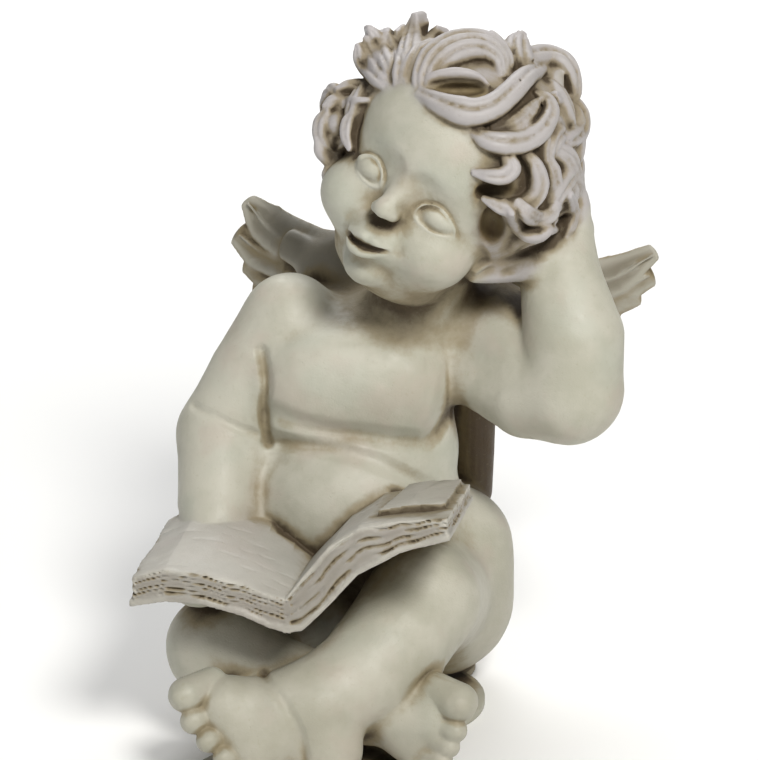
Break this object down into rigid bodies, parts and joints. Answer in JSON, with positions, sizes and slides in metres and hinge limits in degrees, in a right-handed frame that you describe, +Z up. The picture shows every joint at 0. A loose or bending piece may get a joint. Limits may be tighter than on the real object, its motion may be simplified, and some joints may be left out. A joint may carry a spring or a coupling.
{
  "type": "stone cherub statue",
  "caption": "Seated winged cherub cast in stone, ankles crossed, an open book in its lap and its head leaning on one hand, on a low flat base.",
  "frame": {"origin": "on the flat underside of the low base, below the figure's lap", "axes": "+Z up, -Y towards the viewer of the picture, +X to that viewer's right"},
  "size_m": [0.2886, 0.2368, 0.3969],
  "materials": {
    "stone": "ivory cast stone, matt with a faint waxed sheen on the rounds, olive-brown patina in the recesses"
  },
  "bodies": {
    "root": {"cherub_statue": "stone"}
  },
  "joints": []
}
